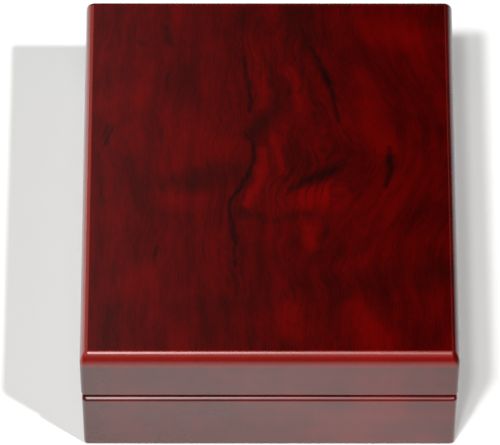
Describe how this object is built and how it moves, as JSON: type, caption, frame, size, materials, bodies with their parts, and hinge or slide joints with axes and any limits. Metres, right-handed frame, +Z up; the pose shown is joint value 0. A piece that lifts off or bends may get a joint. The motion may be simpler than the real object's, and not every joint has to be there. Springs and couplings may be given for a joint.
{
  "type": "hinged presentation box",
  "caption": "Rectangular lacquered wooden presentation box with a moulded hinged lid, padded fabric lining and hidden brass stop hinges at the back.",
  "frame": {"origin": "centre of the base's underside, on the felt", "axes": "+X to the right seen from the front, +Y from the front towards the hinges, +Z up out of the closed lid"},
  "size_m": [0.2032, 0.2368, 0.0913],
  "materials": {
    "lacquered_wood": "high-gloss clear lacquer over dark red-brown rosewood or mahogany veneer",
    "plywood": "sanded birch plywood",
    "pad_board": "plain greyboard, hidden under the padding",
    "felt": "black self-adhesive felt",
    "velvet": "black short-pile velvet",
    "satin": "ivory satin over foam",
    "bumper": "soft silicone",
    "brass": "polished brass"
  },
  "bodies": {
    "base": {"base_front_wall": "lacquered_wood", "base_back_wall": "lacquered_wood", "base_left_wall": "lacquered_wood", "base_right_wall": "lacquered_wood", "base_mitre_splines": "plywood", "base_bottom_panel": "plywood", "base_felt": "felt", "base_pad_board": "pad_board", "base_floor_pad": "velvet", "base_liner_front": "velvet", "base_liner_back": "velvet", "base_liner_left": "velvet", "base_liner_right": "velvet", "rim_bumpers": "bumper", "left_hinge_lower_leaf": "brass", "right_hinge_lower_leaf": "brass", "left_hinge_pin": "brass", "right_hinge_pin": "brass", "base_hinge_screws": "brass"},
    "lid": {"lid_front_wall": "lacquered_wood", "lid_back_wall": "lacquered_wood", "lid_left_wall": "lacquered_wood", "lid_right_wall": "lacquered_wood", "lid_mitre_splines": "plywood", "lid_top_panel": "lacquered_wood", "lid_pad_board": "pad_board", "lid_pad": "satin", "lid_liner_front": "velvet", "lid_liner_back": "velvet", "lid_liner_left": "velvet", "lid_liner_right": "velvet", "left_hinge_upper_leaf": "brass", "right_hinge_upper_leaf": "brass", "lid_hinge_screws": "brass"}
  },
  "joints": [
    {"name": "lid_hinge", "type": "hinge", "parent": "base", "child": "lid", "pos_m": [0, 0.1172, 0.04965], "axis": [-1, 0, 0], "range_deg": [0, 95]}
  ]
}
